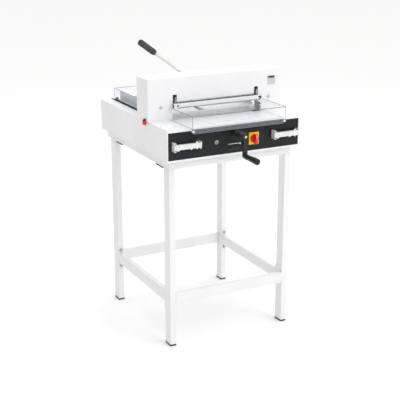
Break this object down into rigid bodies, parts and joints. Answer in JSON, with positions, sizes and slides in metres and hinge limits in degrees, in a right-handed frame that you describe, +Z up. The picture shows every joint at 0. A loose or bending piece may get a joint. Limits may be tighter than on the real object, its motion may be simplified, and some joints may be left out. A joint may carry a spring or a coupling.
{
  "type": "guillotine paper cutter",
  "caption": "Floor-standing office guillotine on a four-leg stand, with clamp lever, clear guards, gauge crank, release bars and main switch.",
  "frame": {"origin": "on the floor, at the middle of the machine's outline", "axes": "+Z up, +Y from the operator to the rear, +X to the operator's right"},
  "size_m": [0.645, 0.883, 1.275],
  "materials": {
    "stand_white": "smooth white powder coat",
    "cover_white": "smooth white powder coat",
    "table_white": "satin white coated table",
    "rubber_black": "matt moulded rubber",
    "bright_steel": "zinc plated",
    "machine_grey": "grey machine enamel",
    "guide_grey": "blue grey satin enamel",
    "tool_steel": "ground steel",
    "chrome": "bright chrome",
    "grip_dark": "textured dark plastic",
    "plastic_black": "moulded black plastic",
    "panel_black": "satin black panel film",
    "stick_plastic": "plain plastic",
    "knob_red": "glossy red plastic",
    "plate_yellow": "glossy yellow plastic",
    "badge_grey": "satin grey plastic",
    "clear_guard": "clear polycarbonate",
    "bar_silver": "satin anodised"
  },
  "bodies": {
    "machine": {"leg_front_left": "stand_white", "leg_front_right": "stand_white", "leg_rear_left": "stand_white", "leg_rear_right": "stand_white", "front_rail": "stand_white", "rear_rail": "stand_white", "side_rail_left": "stand_white", "side_rail_right": "stand_white", "base_frame": "stand_white", "front_frame": "cover_white", "body_side_left": "cover_white", "body_side_right": "cover_white", "rear_panel": "cover_white", "head_front": "cover_white", "head_cover": "cover_white", "head_back": "cover_white", "guard_bar": "cover_white", "table_front": "table_white", "table_rear": "table_white", "feet": "rubber_black", "base_pads": "rubber_black", "rail_bolts": "bright_steel", "guard_arms": "bright_steel", "cover_hinges": "bright_steel", "bottom_plate": "machine_grey", "stick_channel": "machine_grey", "column_left": "machine_grey", "column_right": "machine_grey", "head_beam": "machine_grey", "drive_motor": "machine_grey", "spindle_bearing": "machine_grey", "side_guides": "guide_grey", "key_switch": "chrome", "control_panel": "panel_black", "power_inlet": "plastic_black", "switch_plate": "plate_yellow", "badge_plate": "badge_grey", "head_plugs": "badge_grey", "cut_bar_brackets": "bar_silver"},
    "lever": {"lever_shaft": "tool_steel", "lever_hub": "tool_steel", "lever_rod": "chrome", "lever_grip": "grip_dark"},
    "clamp": {"clamp_bar": "machine_grey", "clamp_rack": "tool_steel"},
    "knife_slide_body": {"knife": "tool_steel", "knife_carrier": "machine_grey", "knife_bolts": "bright_steel"},
    "crank_body": {"crank": "plastic_black", "spindle": "tool_steel"},
    "grip": {"crank_grip": "plastic_black"},
    "gauge": {"back_gauge": "guide_grey"},
    "guard": {"front_guard": "clear_guard"},
    "cover": {"rear_cover": "clear_guard"},
    "stick": {"cutting_stick": "stick_plastic", "stick_knob": "knob_red"},
    "key": {"key_barrel": "chrome"},
    "main_switch": {"switch_knob": "knob_red"},
    "left_release": {"cut_bar_left": "bar_silver"},
    "right_release": {"cut_bar_right": "bar_silver"}
  },
  "joints": [
    {"name": "lever_swing", "type": "hinge", "parent": "machine", "child": "lever", "pos_m": [0, 0.035, 1.047], "axis": [0, 1, 0], "range_deg": [0, 106]},
    {"name": "clamp_travel", "type": "slide", "parent": "machine", "child": "clamp", "axis": [0, 0, -1], "range_m": [0, 0.0446]},
    {"name": "knife_stroke", "type": "slide", "parent": "machine", "child": "knife_slide_body", "axis": [0.45, 0, -0.893], "range_m": [0, 0.0552]},
    {"name": "crank_turn", "type": "hinge", "parent": "machine", "child": "crank_body", "pos_m": [-0.003, 0.019, 0.914], "axis": [0, 1, 0], "range_deg": [-3600, 7200]},
    {"name": "gauge_travel", "type": "slide", "parent": "machine", "child": "gauge", "axis": [0, -1, 0], "range_m": [-0.1001, 0.2001]},
    {"name": "grip_spin", "type": "hinge", "parent": "crank_body", "child": "grip", "pos_m": [-0.003, -0.391, 0.833], "axis": [0, 1, 0], "continuous": true},
    {"name": "guard_lift", "type": "hinge", "parent": "machine", "child": "guard", "pos_m": [0, -0.098, 1.012], "axis": [-1, 0, 0], "range_deg": [0, 80]},
    {"name": "cover_lift", "type": "hinge", "parent": "machine", "child": "cover", "pos_m": [0, 0.06, 0.999], "axis": [1, 0, 0], "range_deg": [0, 60]},
    {"name": "stick_pull", "type": "slide", "parent": "machine", "child": "stick", "axis": [-1, 0, 0], "range_m": [0, 0.25]},
    {"name": "key_turn", "type": "hinge", "parent": "machine", "child": "key", "pos_m": [-0.088, -0.251, 0.882], "axis": [0, -1, 0], "range_deg": [0, 90]},
    {"name": "switch_turn", "type": "hinge", "parent": "machine", "child": "main_switch", "pos_m": [0.088, -0.253, 0.879], "axis": [0, -1, 0], "range_deg": [0, 90]},
    {"name": "left_press", "type": "slide", "parent": "machine", "child": "left_release", "axis": [0, 1, 0], "range_m": [0, 0.005], "stiffness_N_per_m": 400},
    {"name": "right_press", "type": "slide", "parent": "machine", "child": "right_release", "axis": [0, 1, 0], "range_m": [0, 0.005], "stiffness_N_per_m": 400}
  ],
  "couplings": [
    {"joint": "clamp_travel", "follows": "lever_swing", "m_per_rad": 0.024},
    {"joint": "gauge_travel", "follows": "crank_turn", "m_per_rad": 0.0015915}
  ]
}
